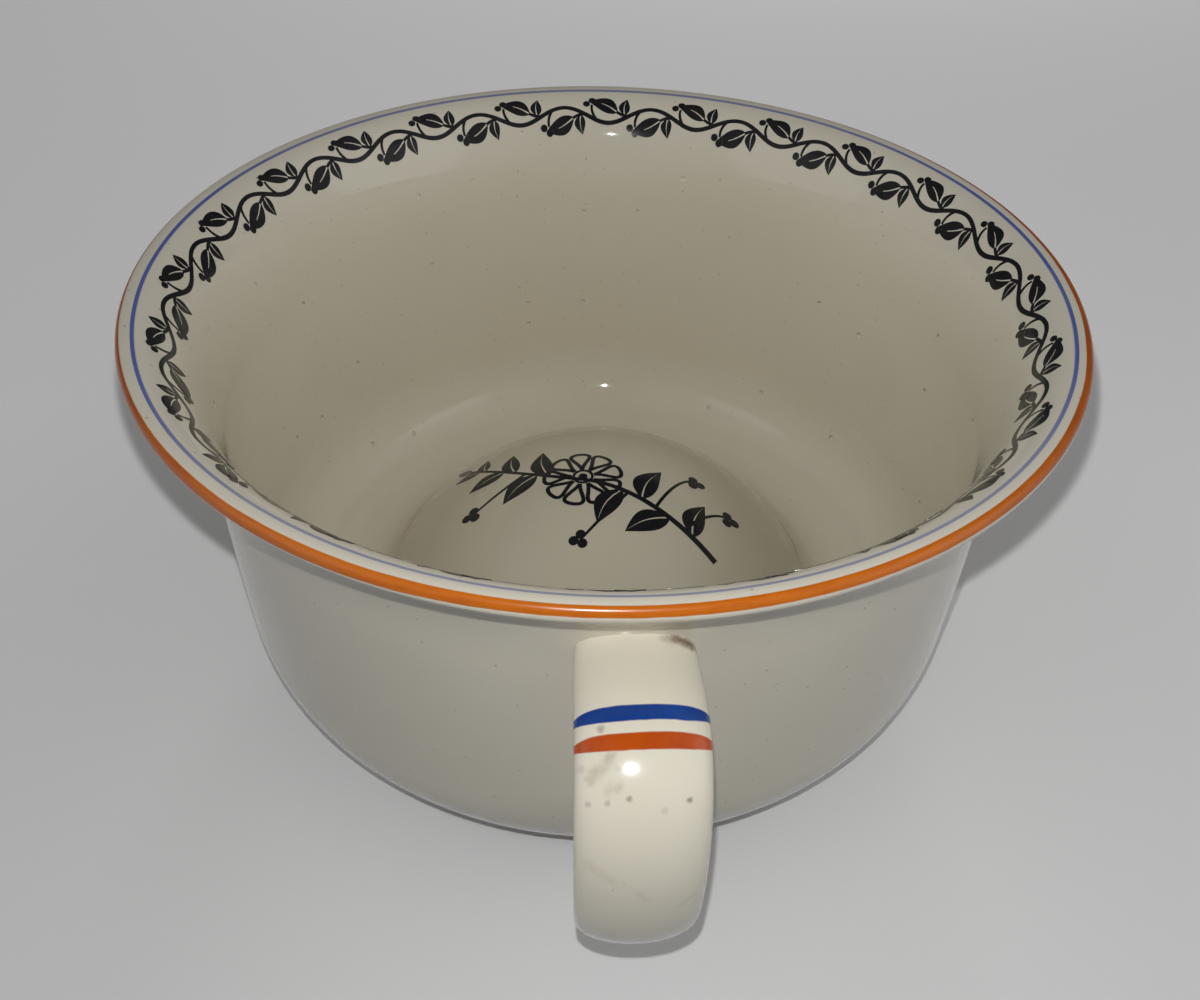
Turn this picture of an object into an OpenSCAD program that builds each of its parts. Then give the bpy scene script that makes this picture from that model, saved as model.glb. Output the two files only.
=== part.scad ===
// Chamber pot with a flared rim, a strap handle and a domed floor.
// A small musical movement sits under the dome and plays while the pot is lifted.
// Millimetres, +Z up. The origin is on the pot's axis, level with the face it stands on.
// The handle points along -Y.

/* [Pot] */
// Diameter over the rim
rim_d = 235; // [228:1:245]
// Height from the foot to the crown of the rim
pot_h = 118; // [114:1:126]
// Overhang of the rim beyond the wall under the flare
rim_over = 14.25; // [12:0.25:16]
// How far the wall leans in from there down to the bottom curve
wall_lean = 2; // [0.5:0.25:4]
// Height at which the bottom curve begins
belly_z = 33.5; // [28:0.5:40]
// Thickness of the wall
wall_t = 4.5; // [4:0.25:6]
// Outside diameter of the foot ring
foot_d = 144; // [138:1:152]
// Width of the foot ring
foot_w = 7; // [5:0.5:10]
// Depth of the hollow inside the foot ring
foot_h = 4; // [3:0.5:5]
// Small step at the outside of the foot ring
foot_step = 2.8; // [1.8:0.2:3.4]
// Thickness of the floor around the dome
floor_t = 5.5; // [5:0.25:7]

/* [Rim] */
// Height of the flare inside the bowl
flare_h = 36.5; // [33:0.5:40]
// Height of the flare on the outside
flare_under = 34; // [30:0.5:38]
// Thickness of the lip
lip_t = 4.2; // [3.6:0.2:5]
// Distance from the edge of the lip in to its crown
lip_w = 1.6; // [1.4:0.1:2.2]

/* [Dome] */
// Diameter of the dome at the floor
dome_d = 130; // [126:1:134]
// Height of the dome above the floor
dome_h = 41; // [38:0.5:45]
// Thickness of the dome
dome_t = 6; // [5:0.25:6.5]
// Radius of the fillet between dome and floor
dome_fillet = 8; // [5:0.5:10]

/* [Handle] */
// Width of the strap
handle_w = 26; // [23:0.5:30]
// Thickness of the strap
handle_t = 10; // [8:0.5:12]
// Reach of the loop beyond the wall
handle_reach = 42; // [38:0.5:46]
// Distance of the top of the loop under the rim
handle_drop = 20; // [18:0.5:24]
// Height of the loop
handle_h = 65.5; // [60:0.5:70]
// Outside radius of the two bends
handle_bend = 29; // [24:0.5:31]

/* [Base] */
// Distance of the hollow's edge inside the edge of the dome
mouth_in = 8; // [7:0.5:10]
// Height of the base cover's underside
cover_z = 11; // [10.5:0.1:12]
// Thickness of the base cover
cover_t = 1.2; // [0.8:0.1:1.6]
// Gap between the base cover's edge and the pot
cover_gap = 0.6; // [0.3:0.1:1.5]
// Radius of the clay lugs inside the dome
lug_r = 6.5; // [5.5:0.25:7]
// Distance of the lugs inside the edge of the hollow
lug_in = 9; // [8.5:0.25:10.5]
// Radius of the wooden plugs in the lugs
plug_r = 3; // [2.5:0.1:3.5]
// Length of the wooden plugs
plug_l = 9; // [6:0.5:11]
// Cement gap around a plug
plug_gap = 0.1; // [0.02:0.02:0.2]
// Radius of the cover screws
cover_screw_r = 1.2; // [1:0.05:1.4]
// Length of the cover screws under the head
cover_screw_l = 8; // [5:0.5:9]

/* [Movement] */
// Height of the pillars under the bedplate
pillar_h = 2.8; // [2.6:0.1:3.4]
// Radius of the pillars
pillar_r = 2.6; // [2.2:0.1:3]
// Thickness of the bedplate
bed_t = 2; // [1.6:0.1:2.4]
// Radius of the bedplate screws
bed_screw_r = 1; // [0.8:0.05:1.2]
// Running clearance around every arbor
run_gap = 0.05; // [0.03:0.01:0.08]
// Gap between pieces that are fixed to one another
fix_gap = 0.02; // [0.01:0.01:0.04]
// Space between parts that move past one another
clear_gap = 0.4; // [0.35:0.05:0.6]

/* [Spring barrel] */
// Distance of the barrel's axis from the pot's axis
barrel_at = 20; // [19:0.25:21]
// Outside radius of the drum
barrel_r = 13.5; // [12.5:0.25:14]
// Height of the drum
barrel_h = 12.2; // [10:0.2:13]
// Thickness of the drum's wall
barrel_t = 1; // [0.8:0.1:1.4]
// Radius of the winding arbor in the drum
wind_r = 2; // [1.8:0.05:2.3]
// Thickness of the mainspring's strip
main_t = 0.35; // [0.25:0.05:0.45]
// Turns of the mainspring
main_turns = 6.5; // [5:0.5:7]

/* [Wheels] */
// Teeth of the crown wheel on the barrel
crown_n = 48; // [48:1:48]
// Teeth of the cylinder's pinion
pinion_n = 16; // [16:1:16]
// Radius of the middle of the crown teeth
crown_r = 16.5; // [16.5:0.1:16.5]
// Teeth of the wheel on the cylinder
wheel_n = 40; // [40:2:40]
// Teeth of the governor's pinion
gov_pinion_n = 10; // [10:1:10]
// Tooth size of these two, pitch diameter over teeth
wheel_m = 0.35; // [0.33:0.01:0.36]
// Teeth of the governor's wheel
gov_n = 36; // [36:1:36]
// Teeth of the fly's pinion
fly_pinion_n = 8; // [8:1:8]
// Tooth size of these two
gov_m = 0.3; // [0.28:0.01:0.31]
// Direction of the fly from the governor arbor, in degrees
fly_dir = 200; // [200:10:200]

/* [Cylinder and comb] */
// Radius of the cylinder
cyl_r = 6.3; // [5.8:0.1:6.5]
// Length of the cylinder
cyl_l = 29; // [28:0.25:29.5]
// Length of the pins beyond the cylinder
pin_h = 0.7; // [0.5:0.05:0.8]
// Teeth of the comb
comb_n = 18; // [12:1:20]
// Thickness of the comb
comb_t = 1; // [0.7:0.1:1.3]
// Space between the pins and the comb's tips
comb_gap = 0.15; // [0.1:0.05:0.3]

/* [Governor] */
// Radius of the fan
fan_r = 4.2; // [3.4:0.1:4.4]
// Length of the fan
fan_l = 10; // [8:0.5:11]
// Radius of the brake drum on the fly's arbor
brake_r = 2; // [1.7:0.1:2.3]
// Space between the brake drum and the pad under it
brake_gap = 0.08; // [0.05:0.01:0.15]
// Radius of the stop pin
stop_r = 1.2; // [1:0.05:1.4]
// Height of the stop pin's tip above the table
stop_tip = 0.3; // [0.2:0.1:0.8]

/* [Hidden] */
$fn = 48;

// Pot
rim_r = rim_d / 2;
neck_r = rim_r - rim_over;
belly_r = neck_r - wall_lean;
foot_r = foot_d / 2;
floor_z = foot_h + floor_t;
neck_z = pot_h - flare_h;
under_z = pot_h - flare_under;
crown_in = rim_r - lip_w;
lip_mid_z = pot_h - lip_t / 2;
lip_low_r = rim_r - lip_t / 2;
throat_r = neck_r - wall_t;
belly_in = belly_r - wall_t;
floor_edge = dome_d / 2 + dome_fillet + 4;
// Dome, a sphere through its edge and its crown
dome_s = (pow(dome_d / 2, 2) + dome_h * dome_h) / (2 * dome_h);
dome_c = floor_z + dome_h - dome_s;
dome_in = dome_s - dome_t;
fillet_z = floor_z + dome_fillet;
fillet_r = sqrt(pow(dome_s + dome_fillet, 2) - pow(fillet_z - dome_c, 2));
fillet_a = atan2(fillet_z - dome_c, fillet_r);
mouth_r = dome_d / 2 - mouth_in;
mouth_a = acos(mouth_r / dome_in);
lug_at = mouth_r - lug_in;
// Levels of the movement
cover_top = cover_z + cover_t;
bed_z = cover_top + pillar_h;
bed_top = bed_z + bed_t;
cover_r = min(mouth_r, sqrt(dome_in * dome_in - pow(cover_top - dome_c, 2))) - cover_gap;
// Crown wheel and cylinder
flange_z = bed_top + clear_gap;
flange_t = 1.2;
crown_add = 0.6;
crown_ded = 0.85;
crown_w = 2.6;
crown_pitch = 2 * PI * crown_r / crown_n;
pitch_z = flange_z + flange_t + crown_ded;
pinion_r = crown_r * pinion_n / crown_n;
axis_z = pitch_z + pinion_r;
arbor_r = 1;
pinion_w = 2;
pinion_x = crown_r - barrel_at - pinion_w / 2;
bearing_t = 1.4;
bearing_x = pinion_x + pinion_w + 0.7;
cyl_x = bearing_x + bearing_t + 0.8;
wheel_w = 1.4;
wheel_x = cyl_x + cyl_l + 0.8;
gov_x = wheel_x + wheel_w + 0.6;
gov_w = 1;
outer_x = gov_x + gov_w + 1;
// Governor
wheel_r = wheel_m * wheel_n / 2;
gov_y = -wheel_m * (wheel_n + gov_pinion_n) / 2;
fly_a = gov_m * (gov_n + fly_pinion_n) / 2;
fly_y = gov_y + fly_a * cos(fly_dir);
fly_z = axis_z + fly_a * sin(fly_dir);
small_r = 0.6;
cock_x = wheel_x - 3.8;
cock_in = -cyl_r - pin_h - 0.4;
fan_x = cock_x - fan_l - 2.4;
brake_w = 3;
brake_x = fan_x - brake_w - 1;
fly_x0 = brake_x - 1;
stop_x = brake_x + brake_w / 2;
pad_t = 0.6;
pad_z = fly_z - brake_r - brake_gap - pad_t;
head_t = 0.6;
head_r = 2.2;
// Comb
comb_y = cyl_r + pin_h + comb_gap;
comb_l = 19;
comb_free = 12.2;
comb_grade = 4.5;
comb_slit = 0.4;
comb_back = 3;
comb_hole = 4;
comb_root = comb_y + comb_free;
comb_x = cyl_x + 0.5;
comb_w = cyl_l - 1;
comb_pitch = comb_w / comb_n;
// Bedplate
bed_x0 = -barrel_at - 18.5;
bed_x1 = outer_x + bearing_t + 1.8;
bed_y0 = fly_y - 6;
bed_y1 = comb_y + comb_l + 1.2;
bed_screws = [[bed_x0 + 4.5, bed_y0 + 4], [bed_x0 + 4.5, bed_y1 - 7], [bed_x1 - 7, bed_y0 + 3.2],
    [bed_x1 - 4, bed_y1 - 4]];
lugs = [60, 180, 300];
// Ratchet, click and key
ratchet_n = 12;
ratchet_r = 5.4;
ratchet_in = 4.3;
ratchet_t = 1.2;
ratchet_z = cover_top + 0.9;
square_w = 1.4 * wind_r;
click_at = [-barrel_at + 6.7, -9];
click_post = [-barrel_at + 11.5, -7.4];
stud_r = 1;
key_z = 2.4;
key_shaft_r = wind_r - 0.4;
key_hub_r = wind_r + 0.8;
key_wing_r = 3.7;
// Mainspring
main_in = wind_r + 0.35;
main_out = barrel_r - barrel_t - main_t - 0.05;
// Middle of the sound slots in the cover
sound_x = 16;
sound_y = 8;
comb_screw_r = 1.1;

// Points along an elliptical arc
function arc(c, a, b, t0, t1, n) =
    [for (i = [0:n]) let(t = t0 + (t1 - t0) * i / n) [c[0] + a * cos(t), c[1] + b * sin(t)]];

// Outside of the pot, from the foot up to the crown of the rim
function outside() = concat(
    [[foot_r - 0.8, 0], [foot_r, 0.8]],
    arc([foot_r, belly_z], belly_r - foot_r, belly_z - foot_step, -90, 0, 14),
    arc([lip_low_r, under_z], lip_low_r - neck_r, pot_h - lip_t - under_z, 180, 90, 18),
    arc([lip_low_r, lip_mid_z], rim_r - lip_low_r, lip_t / 2, -72, 0, 4),
    arc([crown_in, lip_mid_z], lip_w, lip_t / 2, 18, 90, 4));

// Inside of the bowl, from the crown of the rim down and over the dome
function inside() = concat(
    arc([crown_in, neck_z], crown_in - throat_r, flare_h, 95, 180, 18),
    arc([floor_edge, belly_z], belly_in - floor_edge, belly_z - floor_z, 0, -90, 12),
    arc([fillet_r, fillet_z], dome_fillet, dome_fillet, 270, 180 + fillet_a, 6),
    arc([0, dome_c], dome_s, dome_s, fillet_a + 3, 90, 16));

// Underside, from the top of the hollow under the dome out to the foot
function underside() = concat(
    arc([0, dome_c], dome_in, dome_in, 90, mouth_a, 16),
    [[mouth_r, foot_h], [foot_r - foot_w, foot_h], [foot_r - foot_w, 0.6], [foot_r - foot_w + 0.6, 0]]);

// Involute gear outline, with a tooth on the first axis
function inv(rb, r) = r <= rb ? 0 : tan(acos(rb / r)) * 180 / PI - acos(rb / r);

function flank(rb, rp, ha, r) = ha + inv(rb, rp) - inv(rb, r);

function gear_points(n, m, add, ded, slack) =
    let(rp = n * m / 2, rb = rp * cos(20), ra = rp + add, rr = rp - ded)
    let(ha = 90 / n - slack / 2 / rp * 180 / PI, r0 = max(rb, rr))
    let(rs = concat(rr < rb ? [rr] : [], [for (i = [0:3]) r0 + (ra - r0) * i / 3]))
    [for (k = [0:n - 1], s = [-1, 1], j = [0:len(rs) - 1])
        let(r = rs[s < 0 ? j : len(rs) - 1 - j], a = 360 * k / n + s * flank(rb, rp, ha, r))
        [r * cos(a), r * sin(a)]];

module gear(n, m, add, ded, slack) {
    polygon(gear_points(n, m, add, ded, slack));
}

// Stands a flat outline on edge, its axis along X, from x on
module along_x(x, l, y, z) {
    translate([x, y, z])
    rotate([90, 0, 90])
    linear_extrude(l)
    children();
}

module rod_x(x0, x1, r, y, z) {
    translate([x0, y, z])
    rotate([0, 90, 0])
    cylinder(h = x1 - x0, r = r);
}

module at_lugs() {
    for (a = lugs) {
        rotate([0, 0, a])
        translate([lug_at, 0, 0])
        children();
    }
}

module at_bed_screws() {
    for (p = bed_screws) {
        translate([p[0], p[1], 0])
        children();
    }
}

module lug() {
    intersection() {
        at_lugs()
        translate([0, 0, cover_top])
        cylinder(h = 40, r = lug_r);
        translate([0, 0, dome_c])
        sphere(r = dome_s - dome_t / 2, $fn = 96);
    }
}

module pot_body() {
    color("ivory")
    difference() {
        union() {
            rotate_extrude($fn = 120)
            polygon(concat(outside(), inside(), underside()));
            lug();
        }
        at_lugs()
        translate([0, 0, cover_top - 1])
        cylinder(h = plug_l + 1 + plug_gap, r = plug_r + plug_gap);
    }
}

// Oval section of the strap, thickness along the first axis and rounder on the outside
module strap() {
    polygon([for (i = [0:31]) let(t = 11.25 * i, p = cos(t) > 0 ? 1 : 0.7)
        [sign(cos(t)) * handle_t / 2 * pow(abs(cos(t)), p), sign(sin(t)) * handle_w / 2 * pow(abs(sin(t)), 0.75)]]);
}

// A straight length of strap, from its start along the second axis
module straight(l) {
    rotate([-90, 0, 0])
    linear_extrude(l)
    strap();
}

// The loop in its own plane: first axis away from the pot, second axis up
module loop() {
    mid = handle_bend - handle_t / 2;
    out = neck_r + handle_reach - handle_bend;
    top = pot_h - handle_drop - handle_bend;
    low = pot_h - handle_drop - handle_h + handle_bend;
    reach_in = out - throat_r + 6;
    translate([out, top, 0])
    rotate_extrude(angle = 90, $fn = 96)
    translate([mid, 0])
    strap();
    translate([out, low, 0])
    rotate([0, 0, -90])
    rotate_extrude(angle = 90, $fn = 96)
    translate([mid, 0])
    strap();
    translate([out + mid, low, 0])
    straight(top - low);
    translate([out, top + mid, 0])
    rotate([0, 0, 90])
    straight(reach_in);
    translate([out - reach_in, low - mid, 0])
    rotate([0, 0, -90])
    straight(reach_in);
}

module handle() {
    color("ivory")
    difference() {
        rotate([90, 0, 270])
        loop();
        rotate_extrude($fn = 120)
        polygon(concat([[0, 0]], outside(), [[0, pot_h]]));
    }
}

module screw_plugs() {
    color("burlywood")
    at_lugs()
    translate([0, 0, cover_top])
    difference() {
        cylinder(h = plug_l, r = plug_r);
        translate([0, 0, -1])
        cylinder(h = plug_l - 1, r = cover_screw_r + fix_gap);
    }
}

module base_cover() {
    color("silver")
    difference() {
        translate([0, 0, cover_z])
        cylinder(h = cover_t, r = cover_r, $fn = 96);
        translate([0, 0, cover_z - 1]) {
            at_lugs()
            cylinder(h = cover_t + 2, r = cover_screw_r + 0.15);
            at_bed_screws()
            cylinder(h = cover_t + 2, r = bed_screw_r + run_gap);
            translate([-barrel_at, 0, 0])
            cylinder(h = cover_t + 2, r = wind_r + 0.4);
            translate([stop_x, fly_y, 0])
            cylinder(h = cover_t + 2, r = stop_r + clear_gap);
            // Slots that let the sound out
            for (i = [-2:2]) {
                translate([sound_x + 5 * i - 1, sound_y - 7, 0])
                cube([2, 14, cover_t + 2]);
            }
        }
    }
}

// Screw from below: head under the cover, shank up
module screw(head, depth, r, l) {
    difference() {
        union() {
            translate([0, 0, -depth])
            cylinder(h = depth, r = head);
            cylinder(h = l, r = r);
        }
        translate([-head - 1, -0.3, -depth - 1])
        cube([2 * head + 2, 0.6, 1.5]);
    }
}

module cover_screws() {
    color("goldenrod")
    at_lugs()
    translate([0, 0, cover_z])
    screw(2.4, 1.2, cover_screw_r, cover_screw_l);
}

module bedplate() {
    color("goldenrod")
    difference() {
        translate([0, 0, bed_z])
        linear_extrude(bed_t)
        polygon(concat(
            arc([bed_x1 - 4, bed_y1 - 4], 4, 4, 0, 90, 6),
            arc([bed_x0 + 4, bed_y1 - 4], 4, 4, 90, 180, 6),
            arc([bed_x0 + 4, bed_y0 + 4], 4, 4, 180, 270, 6),
            arc([bed_x1 - 4, bed_y0 + 4], 4, 4, 270, 360, 6)));
        translate([0, 0, bed_z - 1]) {
            at_bed_screws()
            cylinder(h = bed_t + 2, r = bed_screw_r + fix_gap);
            translate([-barrel_at, 0, 0])
            cylinder(h = bed_t + 2, r = wind_r + run_gap);
            translate([stop_x, fly_y, 0])
            cylinder(h = bed_t + 2, r = stop_r + run_gap);
            translate([click_at[0], click_at[1], 0])
            cylinder(h = 2, r = stud_r + fix_gap);
            translate([click_post[0], click_post[1], 0])
            cylinder(h = 2, r = stud_r + fix_gap);
        }
        tenon(bearing_x, 0, fix_gap);
        tenon(outer_x, gov_y, fix_gap);
        tenon(cock_x, fly_y + 1.5, fix_gap);
    }
}

// Tongue of an upright plate, let into the bedplate
module tenon(x, y, gap) {
    translate([x - gap, y - 2 - gap, bed_z + 0.5 - gap])
    cube([bearing_t + 2 * gap, 4 + 2 * gap, bed_t - 0.5 + 3 * gap]);
}

module pillars() {
    color("darkgoldenrod")
    at_bed_screws()
    translate([0, 0, cover_top])
    difference() {
        cylinder(h = pillar_h, r = pillar_r);
        translate([0, 0, -1])
        cylinder(h = pillar_h + 2, r = bed_screw_r + run_gap);
    }
}

module bedplate_screws() {
    color("silver")
    at_bed_screws()
    translate([0, 0, cover_z])
    screw(1.9, 1, bed_screw_r, bed_top - cover_z);
}

module spring_barrel() {
    color("gold")
    translate([-barrel_at, 0, flange_z])
    difference() {
        union() {
            cylinder(h = flange_t, r = crown_r + crown_w / 2);
            cylinder(h = barrel_h, r = barrel_r);
            // Crown teeth, with a gap facing the pinion
            for (k = [0:crown_n - 1]) {
                rotate([0, 0, 360 * (k + 0.5) / crown_n])
                translate([crown_r - crown_w / 2, 0, flange_t])
                rotate([90, 0, 90])
                linear_extrude(crown_w)
                polygon([[-0.7, -0.3], [0.7, -0.3], [0.7, 0], [0.17, crown_ded + crown_add],
                    [-0.17, crown_ded + crown_add], [-0.7, 0]]);
            }
        }
        translate([0, 0, flange_t])
        cylinder(h = barrel_h, r = barrel_r - barrel_t);
        translate([0, 0, -1])
        cylinder(h = flange_t + 2, r = wind_r + run_gap);
    }
}

module barrel_lid() {
    color("gold")
    translate([-barrel_at, 0, flange_z + barrel_h - barrel_t])
    difference() {
        cylinder(h = barrel_t, r = barrel_r - barrel_t - fix_gap);
        translate([0, 0, -1])
        cylinder(h = barrel_t + 2, r = wind_r + run_gap);
    }
}

// Spiral strip from the arbor out to the drum's wall
function main_r(t) = main_in + (main_out - main_in) * t / (360 * main_turns);

module mainspring() {
    color("slategray")
    translate([-barrel_at, 0, flange_z + flange_t + 0.5])
    linear_extrude(barrel_h - flange_t - barrel_t - 1)
    polygon(concat(
        [for (i = [0:main_turns * 36]) let(t = 10 * i) main_r(t) * [cos(t), sin(t)]],
        [for (i = [main_turns * 36:-1:0]) let(t = 10 * i) (main_r(t) + main_t) * [cos(t), sin(t)]]));
}

module winding_arbor() {
    color("gray")
    translate([-barrel_at, 0, 0]) {
        translate([0, 0, key_z])
        cylinder(h = ratchet_z - 0.2 - key_z, r = key_shaft_r);
        translate([-square_w / 2, -square_w / 2, ratchet_z - 0.2])
        cube([square_w, square_w, ratchet_t + 0.4]);
        translate([0, 0, ratchet_z + ratchet_t + 0.2])
        cylinder(h = flange_z + barrel_h + 0.5 - ratchet_z - ratchet_t - 0.2, r = wind_r);
    }
}

module ratchet_wheel() {
    color("silver")
    translate([-barrel_at, 0, ratchet_z])
    linear_extrude(ratchet_t)
    difference() {
        polygon([for (k = [0:ratchet_n - 1], s = [0, 1])
            (s == 0 ? ratchet_in : ratchet_r) * [cos(360 * k / ratchet_n), sin(360 * k / ratchet_n)]]);
        square(square_w + 2 * fix_gap, center = true);
    }
}

// Butterfly key, its wings kept above the table
module winding_key() {
    color("goldenrod")
    translate([-barrel_at, 0, 0])
    difference() {
        union() {
            translate([0, 0, key_z - 0.6])
            cylinder(h = cover_z - 0.6 - key_z, r = key_hub_r);
            rotate([90, 0, 0])
            linear_extrude(1.4, center = true)
            difference() {
                union() {
                    for (s = [-1, 1]) {
                        translate([s * 5.2, key_wing_r + 1.2])
                        circle(r = key_wing_r);
                    }
                    translate([-5.2, 2.4])
                    square([10.4, 2 * key_wing_r - 2.4]);
                }
                for (s = [-1, 1]) {
                    translate([s * 5.6, key_wing_r + 1.2])
                    circle(r = 1.6);
                }
            }
        }
        translate([0, 0, key_z])
        cylinder(h = 20, r = key_shaft_r + fix_gap);
    }
}

module click() {
    color("silver")
    translate([0, 0, ratchet_z])
    difference() {
        union() {
            translate([click_at[0], click_at[1], 0])
            cylinder(h = ratchet_t, r = 2.2);
            translate([-barrel_at, 0, 0])
            linear_extrude(ratchet_t)
            polygon([[4.75, -0.35], [5.6, -0.35], [7.4, -1.4], [7.9, -7.4], [5.5, -7.4], [5.55, -2.2], [4.95, -1.3]]);
        }
        translate([click_at[0], click_at[1], -1])
        cylinder(h = ratchet_t + 2, r = stud_r + run_gap);
    }
}

module click_stud() {
    color("gray")
    translate([click_at[0], click_at[1], 0]) {
        translate([0, 0, ratchet_z - 0.55])
        cylinder(h = 0.5, r = 1.8);
        translate([0, 0, ratchet_z - 0.1])
        cylinder(h = bed_z + 1 - ratchet_z + 0.1, r = stud_r);
    }
}

// Leaf that presses on the click, drawn as it lies with the click lifted
module click_spring() {
    color("slategray")
    union() {
        translate([click_post[0], click_post[1], ratchet_z])
        cylinder(h = bed_z + 1 - ratchet_z, r = stud_r);
        translate([click_post[0], click_post[1], ratchet_z])
        rotate([0, 0, 105])
        translate([0, stud_r - 0.3, 0])
        cube([7, 0.3, ratchet_t]);
    }
}

module music_cylinder() {
    color("gold")
    difference() {
        union() {
            rod_x(cyl_x, cyl_x + cyl_l, cyl_r, 0, axis_z);
            for (i = [0:comb_n - 1], k = [0:3]) {
                translate([comb_x + (i + 0.5) * comb_pitch, 0, axis_z])
                rotate([90 * k + (37 * i * i + 23 * i) % 90, 0, 0])
                cylinder(h = cyl_r + pin_h, r = 0.3, $fn = 16);
            }
        }
        rod_x(cyl_x + 1.5, cyl_x + cyl_l - 1.5, cyl_r - 1, 0, axis_z);
        rod_x(cyl_x - 1, cyl_x + cyl_l + 1, arbor_r + fix_gap, 0, axis_z);
    }
}

module cylinder_arbor() {
    color("gray")
    rod_x(pinion_x - 0.3, outer_x + bearing_t + 0.5, arbor_r, 0, axis_z);
}

module cylinder_pinion() {
    color("silver")
    along_x(pinion_x, pinion_w, 0, axis_z)
    difference() {
        gear(pinion_n, 2 * pinion_r / pinion_n, crown_add, crown_ded, 0.3);
        circle(r = arbor_r + fix_gap);
    }
}

module cylinder_wheel() {
    color("gold")
    along_x(wheel_x, wheel_w, 0, axis_z)
    difference() {
        gear(wheel_n, wheel_m, 0.85 * wheel_m, 1.2 * wheel_m, 0.12);
        circle(r = arbor_r + fix_gap);
    }
}

module inner_bearing() {
    color("goldenrod")
    union() {
        along_x(bearing_x, bearing_t, 0, 0)
        difference() {
            polygon(concat([[-4.5, bed_top], [4.5, bed_top]], arc([0, axis_z], 3.2, 3.2, 0, 180, 12)));
            translate([0, axis_z])
            circle(r = arbor_r + run_gap);
        }
        tenon(bearing_x, 0, 0);
    }
}

module outer_bearing() {
    color("goldenrod")
    union() {
        along_x(outer_x, bearing_t, 0, 0)
        difference() {
            polygon(concat(
                [[fly_y - 3, bed_top], [4.5, bed_top]],
                arc([0, axis_z], 3.2, 3.2, 0, 90, 6),
                arc([fly_y + 0.5, fly_z + 1], 3, 3, 90, 180, 6)));
            translate([0, axis_z])
            circle(r = arbor_r + run_gap);
            translate([gov_y, axis_z])
            circle(r = small_r + run_gap);
            translate([fly_y, fly_z])
            circle(r = small_r + run_gap);
        }
        tenon(outer_x, gov_y, 0);
    }
}

module governor_cock() {
    color("goldenrod")
    union() {
        along_x(cock_x, bearing_t, 0, 0)
        difference() {
            polygon(concat(
                [[fly_y - 3, bed_top], [cock_in - 2.5, bed_top], [cock_in, axis_z - 2.5], [cock_in, axis_z + 2]],
                arc([fly_y + 0.5, fly_z + 1], 3, 3, 90, 180, 6)));
            translate([gov_y, axis_z])
            circle(r = small_r + run_gap);
            translate([fly_y, fly_z])
            circle(r = small_r + run_gap);
        }
        tenon(cock_x, fly_y + 1.5, 0);
    }
}

// Steel comb, long teeth at the bass end
module comb() {
    color("silver")
    translate([comb_x, comb_y, axis_z - comb_t / 2])
    linear_extrude(comb_t)
    difference() {
        square([comb_w, comb_l]);
        for (i = [1:comb_n - 1]) {
            translate([i * comb_pitch - comb_slit / 2, -1])
            square([comb_slit, comb_free + 1 - comb_grade * i / comb_n]);
        }
        for (s = [0.2, 0.8]) {
            translate([comb_w * s, comb_l - comb_back])
            circle(r = comb_screw_r + 0.1);
        }
    }
}

module comb_block() {
    color("darkgoldenrod")
    difference() {
        translate([comb_x, comb_root + 0.8, bed_top])
        cube([comb_w, comb_y + comb_l - comb_root - 0.8, axis_z - comb_t / 2 - bed_top]);
        for (s = [0.2, 0.8]) {
            translate([comb_x + comb_w * s, comb_y + comb_l - comb_back, axis_z - comb_t / 2 - comb_hole])
            cylinder(h = comb_hole + 1, r = comb_screw_r + fix_gap);
        }
    }
}

module comb_screws() {
    color("gray")
    for (s = [0.2, 0.8]) {
        translate([comb_x + comb_w * s, comb_y + comb_l - comb_back, axis_z + comb_t / 2])
        rotate([180, 0, 0])
        screw(2, 1, comb_screw_r, comb_t + 0.9 * comb_hole);
    }
}

// Arbor and leaf pinion cut from one rod
module governor_arbor() {
    color("gray")
    union() {
        rod_x(cock_x - 0.5, outer_x + bearing_t + 0.5, small_r, gov_y, axis_z);
        along_x(wheel_x - 0.1, wheel_w + 0.3, gov_y, axis_z)
        rotate(180 / gov_pinion_n)
        gear(gov_pinion_n, wheel_m, 0.8 * wheel_m, 1.25 * wheel_m, 0.12);
    }
}

module governor_wheel() {
    color("gold")
    along_x(gov_x, gov_w, gov_y, axis_z)
    difference() {
        gear(gov_n, gov_m, 0.8 * gov_m, 1.2 * gov_m, 0.1);
        circle(r = small_r + fix_gap);
    }
}

module fly_arbor() {
    color("gray")
    union() {
        rod_x(fly_x0, outer_x + bearing_t + 0.5, small_r, fly_y, fly_z);
        along_x(gov_x - 0.1, gov_w + 0.3, fly_y, fly_z)
        rotate(fly_dir - 180 + 180 / fly_pinion_n)
        gear(fly_pinion_n, gov_m, 0.75 * gov_m, 1.25 * gov_m, 0.1);
    }
}

module fly_fan() {
    color("silver")
    difference() {
        union() {
            rod_x(fan_x, fan_x + fan_l, 1.3, fly_y, fly_z);
            translate([fan_x + 1, fly_y - fan_r, fly_z - 0.25])
            cube([fan_l - 2, 2 * fan_r, 0.5]);
        }
        rod_x(fan_x - 1, fan_x + fan_l + 1, small_r + fix_gap, fly_y, fly_z);
    }
}

module brake_drum() {
    color("gold")
    difference() {
        rod_x(brake_x, brake_x + brake_w, brake_r, fly_y, fly_z);
        rod_x(brake_x - 1, brake_x + brake_w + 1, small_r + fix_gap, fly_y, fly_z);
    }
}

module stop_pin() {
    color("silver")
    translate([stop_x, fly_y, 0]) {
        translate([0, 0, stop_tip])
        cylinder(h = pad_z - stop_tip - head_t / 2, r = stop_r);
        translate([0, 0, pad_z - head_t])
        cylinder(h = head_t, r = head_r);
    }
}

module stop_pad() {
    color("saddlebrown")
    translate([stop_x, fly_y, pad_z])
    cylinder(h = pad_t, r = head_r - 0.3);
}

// Space between the turns of the mainspring
echo(mainspring_gap = (main_out - main_in) / main_turns - main_t);

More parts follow.
